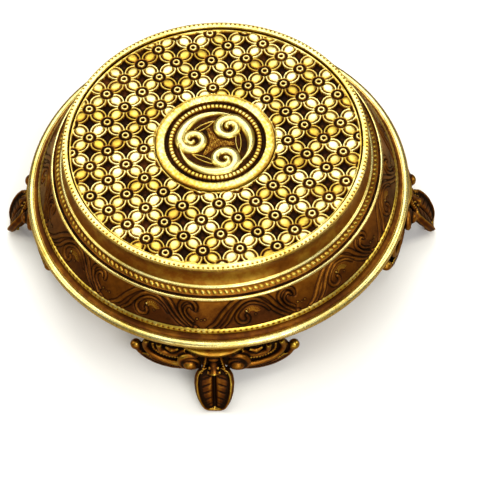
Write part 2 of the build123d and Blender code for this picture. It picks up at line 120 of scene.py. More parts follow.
# ---- small geometry helpers
def smoothstep(low, high, x):
    t = np.clip((x - low) / (high - low), 0, 1)
    return t * t * (3 - 2 * t)


def curve_through(points, samples=24):
    """Smooth curve through a few points (Catmull-Rom), as an array of points."""
    p = np.array(points, float)
    p = np.vstack([2 * p[0] - p[1], p, 2 * p[-1] - p[-2]])
    out = []
    for k in range(1, len(p) - 2):
        t = np.linspace(0, 1, samples, endpoint=False)[:, None]
        a, b, c, d = p[k - 1], p[k], p[k + 1], p[k + 2]
        square, cube = 2 * a - 5 * b + 4 * c - d, 3 * b - a - 3 * c + d
        out.append(0.5 * (2 * b + (c - a) * t + square * t**2 + cube * t**3))
    out.append(p[-2][None])
    return np.vstack(out)


def resample(points, count):
    """The same line with count points spaced evenly along it."""
    p = np.array(points, float)
    s = np.r_[0, np.cumsum(np.linalg.norm(np.diff(p, axis=0), axis=1))]
    at = np.linspace(0, s[-1], count)
    return np.stack([np.interp(at, s, p[:, k]) for k in range(p.shape[1])], 1)


def arc_points(start, end, sag, count=12):
    """Arc from start to end that bows by sag to the right of its direction of travel."""
    a, b = np.array(start, float), np.array(end, float)
    d = b - a
    normal = np.array([d[1], -d[0]]) / np.linalg.norm(d)
    t = np.linspace(0, 1, count)[:, None]
    return a + d * t + normal * sag * 4 * t * (1 - t)


def line_distance(x, y, line):
    """Distance from each grid point to a polyline, and the share of its length there."""
    best = np.full(x.shape, 1e9)
    along = np.zeros(x.shape)
    n = len(line) - 1
    for k in range(n):
        (ax, ay), (bx, by) = line[k], line[k + 1]
        dx, dy = bx - ax, by - ay
        t = np.clip(((x - ax) * dx + (y - ay) * dy) / (dx * dx + dy * dy + 1e-12), 0, 1)
        d = np.hypot(x - ax - t * dx, y - ay - t * dy)
        near = d < best
        best = np.where(near, d, best)
        along = np.where(near, (k + t) / n, along)
    return best, along


def round_arc(centre, radius, start, end, count):
    """Round arc about a centre, between two angles in degrees."""
    angles = np.linspace(math.radians(start), math.radians(end), count)
    return [(centre[0] + radius * math.cos(a), centre[1] + radius * math.sin(a)) for a in angles]


def unit(angle):
    return np.array([math.cos(angle), math.sin(angle)])


def bump(d, width):
    """1 on a line and soft beside it: d is the distance from the line."""
    return np.exp(-((d / width) ** 2))


def between(r, start, full, fade, end):
    """1 inside a ring and 0 outside it, with soft edges."""
    return smoothstep(start, full, r) * smoothstep(end, fade, r)


def new_object(name, data):
    obj = bpy.data.objects.new(name, data)
    bpy.context.scene.collection.objects.link(obj)
    return obj


def mesh_object(name, verts_mm, faces, tone=None):
    """Mesh object from vertices in millimetres and arrays of quads and triangles."""
    mesh = bpy.data.meshes.new(name)
    mesh.vertices.add(len(verts_mm))
    mesh.vertices.foreach_set("co", (np.asarray(verts_mm, np.float64) * MM).astype(np.float32).ravel())
    faces = [f for f in faces if len(f)]
    loops = np.concatenate([f.ravel() for f in faces]).astype(np.int32)
    sizes = np.concatenate([np.full(len(f), f.shape[1]) for f in faces])
    mesh.loops.add(len(loops))
    mesh.loops.foreach_set("vertex_index", loops)
    mesh.polygons.add(len(sizes))
    mesh.polygons.foreach_set("loop_start", np.r_[0, np.cumsum(sizes)[:-1]].astype(np.int32))
    mesh.polygons.foreach_set("use_smooth", np.ones(len(sizes), bool))
    mesh.update(calc_edges=True)
    mesh.validate()
    if tone is not None:
        set_tone(mesh, tone)
    return new_object(name, mesh)


def set_tone(mesh, tone):
    """Per-vertex tone: 0 is black patina in a recess, 1 is rubbed bright brass; in a few places it also
    carries painted light and shade.
    """
    layer = mesh.attributes.get("tone") or mesh.attributes.new("tone", "FLOAT", "POINT")
    layer.data.foreach_set("value", np.asarray(tone, np.float32).ravel())


def vertex_values(mesh, name, kind=np.float64):
    """Places or normals of all vertices, one row each."""
    values = np.zeros(len(mesh.vertices) * 3, kind)
    mesh.vertices.foreach_get(name, values)
    return values.reshape(-1, 3)


def face_outward(mesh):
    work = bmesh.new()
    work.from_mesh(mesh)
    bmesh.ops.recalc_face_normals(work, faces=work.faces)
    work.to_mesh(mesh)
    work.free()


def select(*objects):
    """Selects only these objects and makes the first one active."""
    bpy.ops.object.select_all(action="DESELECT")
    for obj in objects:
        obj.select_set(True)
    bpy.context.view_layer.objects.active = objects[0]


def skin(rows, n):
    """Faces over rows of n points that go once round, and over the single point at each end."""
    step = np.arange(n)
    after = (step + 1) % n
    row = np.arange(rows - 1)[:, None] * n
    quads = np.stack([row + step, row + n + step, row + n + after, row + after], -1).reshape(-1, 4)
    base = (rows - 1) * n
    start = np.stack([np.full(n, rows * n), step, after], -1)
    end = np.stack([base + step, np.full(n, rows * n + 1), base + after], -1)
    return [quads, start, end]


class Turned:
    """A turned piece: rows of points along a profile, each row going once round the axis."""

    def __init__(self, turns):
        self.turns = turns
        self.angle = np.arange(turns) / turns * TAU
        self.rows_r, self.rows_z, self.rows_tone = [], [], []

    def band(self, points, count, tone=0.5, relief=None, last=False):
        """Adds a stretch of profile. relief(angle, along) gives the height above it in mm, and the tone."""
        line = resample(points, count)
        length = np.linalg.norm(np.diff(line, axis=0), axis=1).sum()
        tangent = np.gradient(line, axis=0)
        tangent /= np.linalg.norm(tangent, axis=1)[:, None]
        normal = np.stack([-tangent[:, 1], tangent[:, 0]], 1)
        along = np.linspace(0, length, count)
        a, s = np.meshgrid(self.angle, along)
        height, shade = np.zeros(a.shape), np.full(a.shape, float(tone))
        if relief:
            height, shade = relief(a, s)
        r = line[:, :1] + normal[:, :1] * height
        z = line[:, 1:] + normal[:, 1:] * height
        stop = count if last else count - 1
        self.rows_r.append(r[:stop])
        self.rows_z.append(z[:stop])
        self.rows_tone.append(shade[:stop])

    def build(self, name, centre=(0, 0), poles=False):
        """poles: the first and last rows are single points on the axis; otherwise the profile closes."""
        r, z, tone = (np.vstack(v) for v in (self.rows_r, self.rows_z, self.rows_tone))
        n = self.turns
        x = centre[0] + r * np.cos(self.angle)
        y = centre[1] + r * np.sin(self.angle)
        if not poles:
            verts = np.stack([x, y, z], -1).reshape(-1, 3)
            point = np.arange(len(verts)).reshape(-1, n)
            below = np.roll(point, -1, 0)
            quads = np.stack([point, below, np.roll(below, -1, 1), np.roll(point, -1, 1)], -1)
            return mesh_object(name, verts, [quads.reshape(-1, 4)], tone)
        body = np.stack([x[1:-1], y[1:-1], z[1:-1]], -1).reshape(-1, 3)
        ends = np.array([[*centre, z[0, 0]], [*centre, z[-1, 0]]])
        shades = np.r_[tone[1:-1].ravel(), tone[0, 0], tone[-1, 0]]
        return mesh_object(name, np.vstack([body, ends]), skin(len(r) - 2, n), shades)


# ---- lid shell
# ridges of the scroll in one repeat: half width in mm, then points as shares along the band and up it
FRIEZE_RIDGES = {
    "rise": (0.85, [(0.0, 0.03), (0.07, 0.2), (0.14, 0.53), (0.2, 0.75), (0.26, 0.93), (0.31, 1.03)]),
    "crest": (0.75, [
        (0.12, 0.02), (0.19, 0.27), (0.225, 0.48), (0.28, 0.71), (0.34, 0.88), (0.42, 0.95),
        (0.49, 0.91), (0.53, 0.8), (0.585, 0.6), (0.65, 0.4), (0.71, 0.2), (0.78, 0.04),
    ]),
    "fall": (0.8, [
        (0.5, 1.04), (0.575, 0.95), (0.625, 0.78), (0.67, 0.54), (0.73, 0.32), (0.8, 0.13), (0.88, 0.03),
    ]),
    "curl": (0.55, [
        (0.6, 0.44), (0.555, 0.62), (0.49, 0.77), (0.415, 0.82), (0.35, 0.74), (0.295, 0.58),
        (0.27, 0.4), (0.29, 0.22), (0.33, 0.14), (0.37, 0.18), (0.388, 0.3), (0.375, 0.4),
    ]),
    "tendril": (0.6, [
        (0.84, 0.1), (0.765, 0.34), (0.722, 0.58), (0.712, 0.76), (0.74, 0.92),
        (0.79, 0.99), (0.845, 0.93), (0.875, 0.8), (0.872, 0.66),
    ]),
    "bud": (0.4, [(0.855, 0.24), (0.79, 0.44), (0.765, 0.62), (0.785, 0.76), (0.82, 0.8), (0.845, 0.7)]),
}
# punched marks in one repeat: share along, share up and size
FRIEZE_PUNCHES = (
    (0.375, 0.56, 0.5), (0.89, 0.36, 0.45), (0.93, 0.31, 0.32), (0.965, 0.34, 0.4), (0.46, 0.4, 0.35),
)


def frieze_relief(angle, along):
    """Height and tone of the engraved scroll band, one repeat worked out and used all the way round."""
    slope = along[-1, 0]
    repeat = TAU * (FRIEZE_TOP[0] + FRIEZE_FOOT[0]) / 2 / FRIEZE_REPEATS
    columns = angle.shape[1] // FRIEZE_REPEATS
    x = np.arange(columns)[None, :] / columns * repeat * np.ones((angle.shape[0], 1))
    y = slope - along[:, :columns]
    height = -0.12 * np.ones(x.shape)
    # the ground is painted lighter towards the top of the band: a painted sheen
    tone = 0.22 + 0.16 * smoothstep(0.2, 1.0, y / slope)
    for width, points in FRIEZE_RIDGES.values():
        line = curve_through(points, 8) * (repeat, slope)
        for wrap in (-repeat, 0, repeat):
            d, share = line_distance(x, y, line + (wrap, 0))
            w = width * (0.55 + 0.45 * smoothstep(0, 0.25, share))
            ridge = bump(d, w)
            groove = bump(d - w - 0.45, 0.36)
            height = height * (1 - ridge) + 0.32 * ridge - 0.55 * groove
            tone = (tone * (1 - ridge) + 0.33 * ridge) * (1 - 0.95 * groove)
    # feathered hatching under the crest and a few punched marks in the trough
    for k in range(9):
        turn = math.radians(150 - 15 * k)
        inner = np.array([0.43 * repeat, 0.42 * slope]) + 1.9 * unit(turn)
        outer = inner + 2.1 * unit(turn - 0.35)
        d, _ = line_distance(x, y, np.array([inner, outer]))
        mark = bump(d, 0.2)
        height = height + 0.18 * mark - 0.12 * bump(d - 0.42, 0.2)
        tone = np.clip(tone + 0.4 * mark, 0, 1)
    for u, v, size in FRIEZE_PUNCHES:
        d = np.hypot(x - u * repeat, y - v * slope)
        height = height + 0.35 * bump(d, size)
        tone = np.clip(tone + 0.5 * bump(d, size * 0.8) - 0.5 * bump(d - size * 1.5, 0.2), 0, 1)
    edge = np.minimum(y, slope - y)
    height = np.where(edge < 0.5, height * smoothstep(0, 0.5, edge), height)
    tone = tone * (1 - 0.9 * bump(y - 0.3, 0.35))
    turn = round(FRIEZE_TURN / 360 * angle.shape[1])
    return (np.roll(np.tile(v, (1, FRIEZE_REPEATS)), turn, axis=1) for v in (height, tone))


def top_edge_relief(angle, along):
    """A row of punched dots."""
    phase = (angle / TAU * EDGE_DOTS) % 1 - 0.5
    pitch = TAU * DOT_CIRCLE_R / EDGE_DOTS
    hit = np.exp(-(((phase * pitch) ** 2 + (along - 2.15) ** 2) / 0.42**2))
    return -0.35 * hit, 0.8 + (0.1 - 0.8) * hit


def bead_band_relief(angle, along):
    """Slanting beads side by side."""
    phase = (angle / TAU * BEADS) % 1 - 0.5
    pitch = TAU * BEAD_CIRCLE_R / BEADS
    middle = along[-1, 0] / 2
    d2 = ((phase * pitch - 0.5 * (along - middle)) / 0.95) ** 2 + (along - middle) ** 2
    bead = np.sqrt(np.clip(1 - d2, 0, 1))
    return 0.5 * bead - 0.2, 0.36 + 0.34 * bead**0.6


def mill_band_relief(angle, along):
    """A row of milled nicks."""
    phase = (angle / TAU * MILL_NICKS) % 1 - 0.5
    hit = np.exp(-(((phase * 2.65) / 0.42) ** 2 + ((along - 1.5) / 0.55) ** 2))
    return -0.4 * hit, 0.72 - 0.6 * hit


def make_lid_shell():
    lid = Turned(LID_TURNS)
    roll = round_arc((RIM_R - ROLL_R, LID_BOTTOM + ROLL_R), ROLL_R, 126, -90, 24)
    lid.band([(OPENING_R, PANEL_BOTTOM), (OPENING_R, LID_TOP - 0.25)], 5, 0.3)
    lid.band(
        [(OPENING_R, LID_TOP - 0.25), (OPENING_R + 0.25, LID_TOP), (TOP_EDGE_R - 0.6, LID_TOP),
         (TOP_EDGE_R - 0.15, LID_TOP - 0.2), (TOP_EDGE_R, LID_TOP - 0.8), (TOP_EDGE_R - 0.1, LID_TOP - 1.8)],
        18, 0.95, top_edge_relief,
    )
    lid.band(arc_points((TOP_EDGE_R - 0.1, LID_TOP - 1.8), COVE_FOOT, 1.3, 20), 22, 0.44)
    lid.band(arc_points(COVE_FOOT, BEAD_BAND[0], -0.35), 7, 0.86)
    lid.band(arc_points(*BEAD_BAND, 0.25), 15, 0.4, bead_band_relief)
    lid.band([BEAD_BAND[1], (BEAD_BAND[1][0] + 0.35, BEAD_BAND[1][1] - 0.75), FRIEZE_EDGE], 6, 0.05)
    lid.band(arc_points(FRIEZE_EDGE, FRIEZE_TOP, -0.4), 8, 0.86)
    lid.band([FRIEZE_TOP, FRIEZE_FOOT], 50, 0.3, frieze_relief)
    lid.band(arc_points(FRIEZE_FOOT, MILL_FOOT, -0.65), 13, 0.85, mill_band_relief)
    lid.band(arc_points(MILL_FOOT, roll[0], 0.75), 10, 0.24)
    lid.band(roll, 22, 0.84)
    bore = FLANGE_R - 6.2
    lid.band([roll[-1], (bore, LID_BOTTOM)], 5, 0.6)
    inside = [
        (bore, LID_BOTTOM), (bore, LID_TOP - 32.9), (FRIEZE_FOOT[0] - 2, FRIEZE_FOOT[1]),
        (FRIEZE_TOP[0] - 2.2, FRIEZE_TOP[1]), (COVE_FOOT[0] - 2, COVE_FOOT[1] - 1),
        (OPENING_R + 0.2, PANEL_BOTTOM - 1.85), (OPENING_R - 5.2, PANEL_BOTTOM - 1.85),
        (OPENING_R - 5.2, PANEL_BOTTOM - 0.05), (OPENING_R, PANEL_BOTTOM - 0.05),
    ]
    lid.band(inside, 34, 0.62)
    return lid.build("carved_lid_shell")


# ---- lattice panel
def lattice_relief(x, y):
    """Height in mm and tone of the flower lattice, at points in mm from the lid's axis."""
    c, s = math.cos(LATTICE_TURN), math.sin(LATTICE_TURN)
    u = (c * (x - LATTICE_SHIFT[0]) + s * (y - LATTICE_SHIFT[1])) / LATTICE_STEP
    v = (-s * (x - LATTICE_SHIFT[0]) + c * (y - LATTICE_SHIFT[1])) / LATTICE_STEP
    # distance to the nearest boss and to the nearest void, on the two chequered sets of points
    i, j = np.round(u), np.round(v)
    even = (i + j) % 2 == 0
    du, dv = u - i, v - j
    other_u = np.where(np.abs(du) > np.abs(dv), du - np.sign(du), du)
    other_v = np.where(np.abs(du) > np.abs(dv), dv, dv - np.sign(dv))
    bu, bv = np.where(even, du, other_u), np.where(even, dv, other_v)
    hu, hv = np.where(even, other_u, du), np.where(even, other_v, dv)
    boss = np.hypot(bu, bv) * LATTICE_STEP
    hx, hy = np.abs(hu) * LATTICE_STEP, np.abs(hv) * LATTICE_STEP
    # four-pointed void with hollow sides
    star = np.sqrt(hx) + np.sqrt(hy)
    void = smoothstep(*VOID_EDGE, star)
    # petal between two bosses: coordinates along and across the link
    mu, mv = np.floor(u) + 0.5, np.floor(v) + 0.5
    slant = np.where((np.floor(u) + np.floor(v)) % 2 == 0, 1.0, -1.0)
    pu, pv = (u - mu) * LATTICE_STEP, (v - mv) * LATTICE_STEP
    across = (pu - slant * pv) / math.sqrt(2)
    lengthwise = (pu + slant * pv) / math.sqrt(2)
    petal = np.hypot(across / PETAL_HALF[0], lengthwise / PETAL_HALF[1])
    dome = np.sqrt(np.clip(1.06 - petal**2, 0, 1))
    moat = bump((petal - 1.12) * 2.5, 0.34) * smoothstep(0.9, 2.0, np.abs(across))
    rim = bump((petal - 1.42) * 2.5, 0.4)
    # each petal is cut by hand: its face leans a little its own way
    lean_u = np.sin(12.9898 * mu + 78.233 * mv) * 0.085
    lean_v = np.sin(39.346 * mu + 11.135 * mv + 2.0) * 0.085
    height = 0.42 * dome - 0.6 * moat + 0.12 * rim + (lean_u * pu + lean_v * pv) * dome
    # each petal is also painted lighter or darker by the way its face leans: painted light and shade
    tone = 0.64 + 0.24 * dome - 0.75 * moat + 0.26 * rim + 1.1 * (lean_u + lean_v)
    # boss: pit, bright ring, dark moat
    near = smoothstep(*BOSS_EDGE, boss)
    boss_height = 0.5 * bump(boss - 1.4, 0.5) - 0.8 * bump(boss - 2.6, 0.6) - 0.9 * bump(boss, 0.6)
    boss_tone = 0.14 + 0.86 * bump(boss - 1.4, 0.5) - 0.14 * bump(boss - 2.5, 0.5) - 0.7 * bump(boss, 0.6)
    height = height * (1 - near) + boss_height * near
    tone = tone * (1 - near) + boss_tone * near
    # the voids are painted near black, partly dark patina and partly painted shade of their depth, with a
    # painted glint on their floor
    floor_glint = 0.12 * bump(np.hypot(hx, hy), 0.6)
    height = height * (1 - void) - VOID_DEPTH * void
    dark = smoothstep(0.05, 0.5, void)
    tone = tone * (1 - dark) + floor_glint * dark
    return height, np.clip(tone, 0, 1)


def make_lattice_panel():
    panel = Turned(1200)
    seat = MEDAL_R + 0.3
    border = PANEL_R - LATTICE_BORDER

    def top(angle, along):
        r = seat + (PANEL_R - 0.25 - seat) * along / along[-1, 0]
        height, tone = lattice_relief(r * np.cos(angle), r * np.sin(angle))
        hold = smoothstep(border, border - 0.5, r) * smoothstep(seat + 0.4, seat + 0.9, r)
        return height * hold, tone * hold + 0.75 * (1 - hold)

    seat_z = PANEL_BOTTOM + SEAT_RISE
    panel.band([(seat, seat_z), (seat, PANEL_TOP)], 5, 0.2)
    panel.band([(seat, PANEL_TOP), (PANEL_R - 0.25, PANEL_TOP)], 122, 0.7, top)
    panel.band([(PANEL_R - 0.25, PANEL_TOP), (PANEL_R, PANEL_TOP - 0.3), (PANEL_R, PANEL_BOTTOM)], 7, 0.3)
    panel.band([(PANEL_R, PANEL_BOTTOM), (STUD_HOLE_R, PANEL_BOTTOM)], 10, 0.6)
    panel.band([(STUD_HOLE_R, PANEL_BOTTOM), (STUD_HOLE_R, seat_z)], 3, 0.3)
    panel.band([(STUD_HOLE_R, seat_z), (seat, seat_z)], 6, 0.3)
    return panel.build("lattice_panel_relief")


# ---- medallion
def triskele_arm():
    """Centre line of one arm: a tail along the outer circle that curls inward round its own volute."""
    centre = 10.9 * unit(math.radians(50))
    tail_angle = np.radians(np.linspace(-58, 50, 40))
    tail = 17.3 * np.stack([np.cos(tail_angle), np.sin(tail_angle)], 1)
    phi = np.linspace(0, 480, 110)
    fade = np.clip((phi - 120) / 360, 0, 1)
    radius = 0.7 + 4.3 * (1 - fade**2) + 1.4 * np.exp(-phi / 50)
    turn = np.radians(50 + phi)
    curl = centre + radius[:, None] * np.stack([np.cos(turn), np.sin(turn)], 1)
    return np.vstack([tail[:-1], curl])


def medallion_rings(x, y, r):
    """Hammered ring, slightly crowned, then the dark groove and the milled ring."""
    hammered = np.sin(1.9 * x + 1.1 * np.sin(1.3 * y)) * np.sin(1.7 * y + 1.2 * np.sin(1.5 * x))
    height = 0.42 * (1 - np.clip((r - FLAT_RING_R) / 2.4, -1, 1) ** 2) - 0.45 + 0.035 * hammered
    tone = 0.95 - (0.2 + 0.1 * hammered + 0.22 * bump(r - 28.4, 0.5))
    groove = between(r, *GROOVE_RING)
    height = height - 1.5 * groove
    tone = tone - 0.9 * groove
    mill = between(r, *MILL_RING)
    tick = np.abs((np.arctan2(y, x) / TAU * MILL_TEETH) % 1 - 0.5) * 2
    mill_crown = 1 - np.clip(np.abs(r - 21.4) / 1.1, 0, 1) ** 2
    mill_height = -0.55 + 0.25 * (1 - bump(tick - 1, 0.3)) + 0.2 * mill_crown
    height = height * (1 - mill) + mill_height * mill
    return height, tone * (1 - mill) + (0.72 - 0.55 * bump(tick - 1, 0.3)) * mill


def add_arm(x, y, degrees, height, tone):
    """One curled arm, raised from the ground of the medallion's middle."""
    c, s = unit(math.radians(degrees))
    d, share = line_distance(x, y, triskele_arm() @ np.array([[c, s], [-s, c]]))
    w = 0.7 + 2.1 * smoothstep(0, 0.22, share)
    w = w - 0.7 * smoothstep(0.35, 0.6, share) - smoothstep(0.7, 1.0, share)
    t = np.clip(d / w, 0, 1.4)
    body = smoothstep(1.18, 0.88, t)
    crown = -0.1 - 1.15 * np.clip(t, 0, 1) ** 2.2
    # the arm is rubbed bright along its top, with painted shade darkening it towards its rounded edges
    rubbed_top_edge_shade = 0.86 * body * (1 - 0.5 * np.clip(t, 0, 1) ** 4)
    return height * (1 - body) + crown * body, np.maximum(tone, rubbed_top_edge_shade)


def add_sliver(x, y, degrees, height, tone):
    """A leaf between two arms, drawn as a double outline."""
    p, q = (13.0 * unit(math.radians(end + degrees)) for end in (89, 150))
    mid, along = (p + q) / 2, (q - p) / np.linalg.norm(q - p)
    half = np.linalg.norm(q - p) / 2
    lx = ((x - mid[0]) * along[0] + (y - mid[1]) * along[1]) / half
    ly = (x - mid[0]) * -along[1] + (y - mid[1]) * along[0]
    outline = bump(np.abs(ly) - 1.25 * np.clip(1 - lx**2, 0, 1), 0.32) * (np.abs(lx) < 1.05)
    return np.maximum(height, -2.0 + 1.0 * outline), np.maximum(tone, 0.8 * outline)


def add_web(x, y, degrees, height, tone):
    """A stippled web that joins the volutes in the middle."""
    d, share = line_distance(x, y, [np.zeros(2), 8.5 * unit(math.radians(110 + degrees))])
    web = smoothstep(1.0, 0.6, d / (3.4 - 2.2 * share))
    stipple = np.sin(x * 5.2 + 1.7 * np.sin(y * 4.1)) * np.sin(y * 5.7 + 1.3 * np.sin(x * 3.7))
    raised = -MIDDLE_DEPTH + web * (1.0 + 0.22 * stipple)
    return np.maximum(height, raised), np.maximum(tone, web * (0.36 + 0.32 * stipple))


def medallion_relief(x, y):
    """Height in mm and tone of the medallion, at points in mm from its centre."""
    c, s = math.cos(-MEDAL_TURN), math.sin(-MEDAL_TURN)
    x, y = c * x - s * y, s * x + c * y
    r = np.hypot(x, y)
    height, tone = medallion_rings(x, y, r)
    ground = -MIDDLE_DEPTH * np.ones(r.shape)
    ground_tone = 0.07 * np.ones(r.shape)
    for degrees in (0, 120, 240):
        for add in (add_arm, add_sliver, add_web):
            ground, ground_tone = add(x, y, degrees, ground, ground_tone)
    inside = smoothstep(*MIDDLE_EDGE, r)
    edge_line = bump(r - 20.15, 0.35)
    height = height * (1 - inside) + ground * inside - 0.5 * edge_line
    tone = (tone * (1 - inside) + ground_tone * inside) * (1 - 0.85 * edge_line)
    return height, np.clip(tone, 0, 1)


def make_medallion():
    medal = Turned(720)
    edge = MEDAL_R - 0.4
    seat = PANEL_BOTTOM + 1.25

    def top(angle, along):
        r = edge * along / along[-1, 0]
        return medallion_relief(r * np.cos(angle), r * np.sin(angle))

    medal.band([(0, MEDAL_TOP), (edge, MEDAL_TOP)], 118, 0.9, top)
    medal.band([(edge, MEDAL_TOP), (MEDAL_R, MEDAL_TOP - 0.5), (MEDAL_R, seat)], 8, 0.5)
    head = medal_low[2]
    stud = [(MEDAL_R, seat), (3, seat), (3, head + 0.9), (5, head + 0.85), (4.2, head + 0.2), (0, head)]
    medal.band(stud, 16, 0.6, last=True)
    return medal.build("medallion_relief", poles=True)


# ---- base pan
def make_pan():
    pan = Turned(512)
    wall = FLANGE_R - 6.8
    bore = wall - PAN_WALL
    flange_top = LID_BOTTOM - 0.05
    wall_foot = PAN_UNDER + WALL_FOOT_RISE

    def lathe_marks(angle, along):
        marks = 0.05 * np.sin(along * 3.1) * smoothstep(2, 8, along)
        line = bump(along - 30, 0.5) + bump(along - 52, 0.5)
        return marks - 0.25 * line, 0.55 + 0.1 * np.sin(along * 3.1) - 0.3 * line

    floor_edge = (FLOOR_R, PAN_UNDER + PAN_WALL)
    pan.band([(0, PAN_UNDER + PAN_WALL), floor_edge], 30, 0.7)
    pan.band(arc_points(floor_edge, (bore, wall_foot), 0.8, 12), 12, 0.7)
    pan.band([(bore, wall_foot), (bore, COLLAR_TOP - 0.4), (bore + 0.4, COLLAR_TOP)], 10, 0.7)
    collar = [(bore + 0.4, COLLAR_TOP), (wall - 0.4, COLLAR_TOP), (wall, COLLAR_TOP - 0.4)]
    pan.band([*collar, (wall, flange_top)], 10, 0.8)
    pan.band([(wall, flange_top), (FLANGE_R - 0.5, flange_top)], 5, 0.6)
    lip = round_arc((FLANGE_R - 0.8, flange_top - 0.8), 0.8, 90, -90, 12)
    pan.band(lip, 12, 0.9)
    pan.band([lip[-1], (wall, flange_top - PAN_WALL)], 5, 0.4)
    pan.band([(wall, flange_top - PAN_WALL), (wall, wall_foot)], 6, 0.4)
    pan.band(arc_points((wall, wall_foot), (FLOOR_R + 1, PAN_UNDER), -0.8, 14), 14, 0.5)
    pan.band([(FLOOR_R + 1, PAN_UNDER), (0, PAN_UNDER)], 90, 0.55, lathe_marks, last=True)
    return pan.build("spun_base_pan", poles=True)


# ---- feet
def tube(points, radii, sides=14):
    """Vertices and faces of a closed round tube along a 3-D line, with one radius or one per point."""
    p = np.array(points, float)
    radii = np.broadcast_to(np.asarray(radii, float), (len(p),))
    tangent = np.gradient(p, axis=0)
    tangent /= np.linalg.norm(tangent, axis=1)[:, None]
    up = np.array([0.0, 0.0, 1.0])
    if abs(tangent[0] @ up) > 0.9:
        up = np.array([0.0, 1.0, 0.0])
    side = np.cross(tangent[0], up)
    side /= np.linalg.norm(side)
    frames = []
    for t in tangent:
        side = side - (side @ t) * t
        side /= np.linalg.norm(side)
        frames.append((side.copy(), np.cross(t, side)))
    a = np.arange(sides) / sides * TAU
    cosine, sine = np.cos(a)[:, None], np.sin(a)[:, None]
    rings = [c + r * (cosine * s + sine * b) for c, r, (s, b) in zip(p, radii, frames)]
    verts = np.vstack(rings + [p[:1], p[-1:]])
    # a tube is wound the other way than a turned piece
    return verts, [np.roll(f[:, ::-1], 1, axis=1) for f in skin(len(p), sides)]


def slab(grid_front, grid_back):
    """Vertices and faces of a closed solid between two grids of points of the same shape."""
    m, n = grid_front.shape[:2]
    verts = np.vstack([grid_front.reshape(-1, 3), grid_back.reshape(-1, 3)])
    i, j = np.meshgrid(np.arange(m - 1), np.arange(n - 1), indexing="ij")
    a = (i * n + j).ravel()
    front = np.stack([a, a + n, a + n + 1, a + 1], -1)
    back = front[:, ::-1] + m * n
    edge = np.concatenate([
        np.arange(n), np.arange(1, m) * n + n - 1,
        (m - 1) * n + np.arange(n - 2, -1, -1), np.arange(m - 2, 0, -1) * n,
    ])
    nxt = np.roll(edge, -1)
    sides = np.stack([edge, nxt, nxt + m * n, edge + m * n], -1)
    return verts, [front, back, sides]


def ball(centre, radius, squash=(1, 1, 1)):
    a = np.linspace(0, math.pi, 14)
    line = np.array([[0, 0, math.cos(t)] for t in a])
    verts, faces = tube(line, np.maximum(np.sin(a), 1e-3), 20)
    return verts * radius * np.array(squash) + np.array(centre), faces


def on_wall(degrees, radius, height):
    """Point at an angle from the foot's middle, a radius from the box's axis and a height."""
    a = math.radians(degrees)
    return np.array([radius * math.cos(a), radius * math.sin(a), height])


# scroll lines of a foot's wing: degrees from the foot's middle, then height
WING_HEM = [
    (24.2, 20.5), (23.3, 17.8), (21.6, 15.4), (18.5, 13.4),
    (14.8, 12.8), (11.1, 13.4), (8.2, 15.2), (5.6, 18.0),
]
WING_OUTER = [(20.4, 30.5), (21.0, 25.2), (19.6, 20.4), (16.2, 17.3), (11.6, 16.2), (8.4, 17.2), (6.4, 19.5)]
WING_INNER = [(16.4, 30.5), (15.9, 26.2), (13.4, 24.4), (10.4, 26.0), (8.2, 29.6)]
WING_BEADS = [(18.7, 28.0), (18.4, 24.0), (16.6, 21.2), (13.6, 20.2), (11.0, 20.6)]
# half-moon knee cap: radius of its centre from the box's axis, its own radius and its thickness
CAP_CENTRE, CAP_R, CAP_THICK = 73.5, 23.0, 3.0
UNDER_FLANGE = LID_BOTTOM - 1.72
WALL_CLEAR = FLANGE_R - 6.75  # just outside the pan's wall
FOOT_VOXEL = 0.34
# leaf: radius and height down its ridge, then share of its length and half width
LEAF_RIDGE = [
    (97.6, 23.6), (99.6, 20.8), (102.4, 17.2), (104.9, 13.3),
    (106.9, 9.0), (108.1, 5.0), (107.9, 2.0), (106.9, 0.4),
]
LEAF_HALF_WIDTHS = [
    (0, 5.0), (0.08, 8.0), (0.18, 9.3), (0.3, 9.7), (0.45, 9.3),
    (0.6, 8.2), (0.74, 6.7), (0.85, 4.9), (0.93, 3.2), (1, 1.6),
]
# core of the leg behind the leaf: radius and height
LEG_SPINE = [(90.5, 30.5), (92.4, 27.0), (93.4, 22.5), (95.6, 17.0), (98.6, 11.5), (101.9, 6.2), (104.2, 3.0)]
# plate behind the scrolls: degrees from the foot's middle, then the height of its lower and upper edge
PLATE_HEM = [(0, 14.6), (8.2, 14.6), (11.1, 13.6), (14.8, 13.0), (18.5, 13.6), (21.6, 15.6), (23.4, 18.6)]
PLATE_TOP = [(0, 32.5), (17, 32.4), (19.0, 31.0), (20.5, 28.5), (22, 24.8), (23.4, 21.0)]


def wall_line(points, radius, side, samples=8):
    """Smooth line on the pan's wall through points given as degrees and height."""
    return np.array([on_wall(side * d, radius, z) for d, z in curve_through(points, samples)])


def knee_cap():
    """Half-moon plate under the flange, over the knee."""
    wall = FLANGE_R - 6.7
    meet = (wall**2 - CAP_R**2 + CAP_CENTRE**2) / (2 * CAP_CENTRE)
    reach = math.acos((meet - CAP_CENTRE) / CAP_R) * 0.97
    front, back = [], []
    for t in np.linspace(-reach, reach, 40):
        x, y = CAP_CENTRE + CAP_R * math.cos(t), CAP_R * math.sin(t)
        start = min(math.sqrt(wall**2 - y**2), x - 0.05)
        steps = [(start + (x - start) * d, d) for d in np.linspace(0, 1, 9)]
        front.append([(px, y, UNDER_FLANGE - 0.8 * d**5) for px, d in steps])
        back.append([(px - 0.4 * d, y * 0.98, UNDER_FLANGE - CAP_THICK) for px, d in steps])
    return slab(np.array(front), np.array(back))


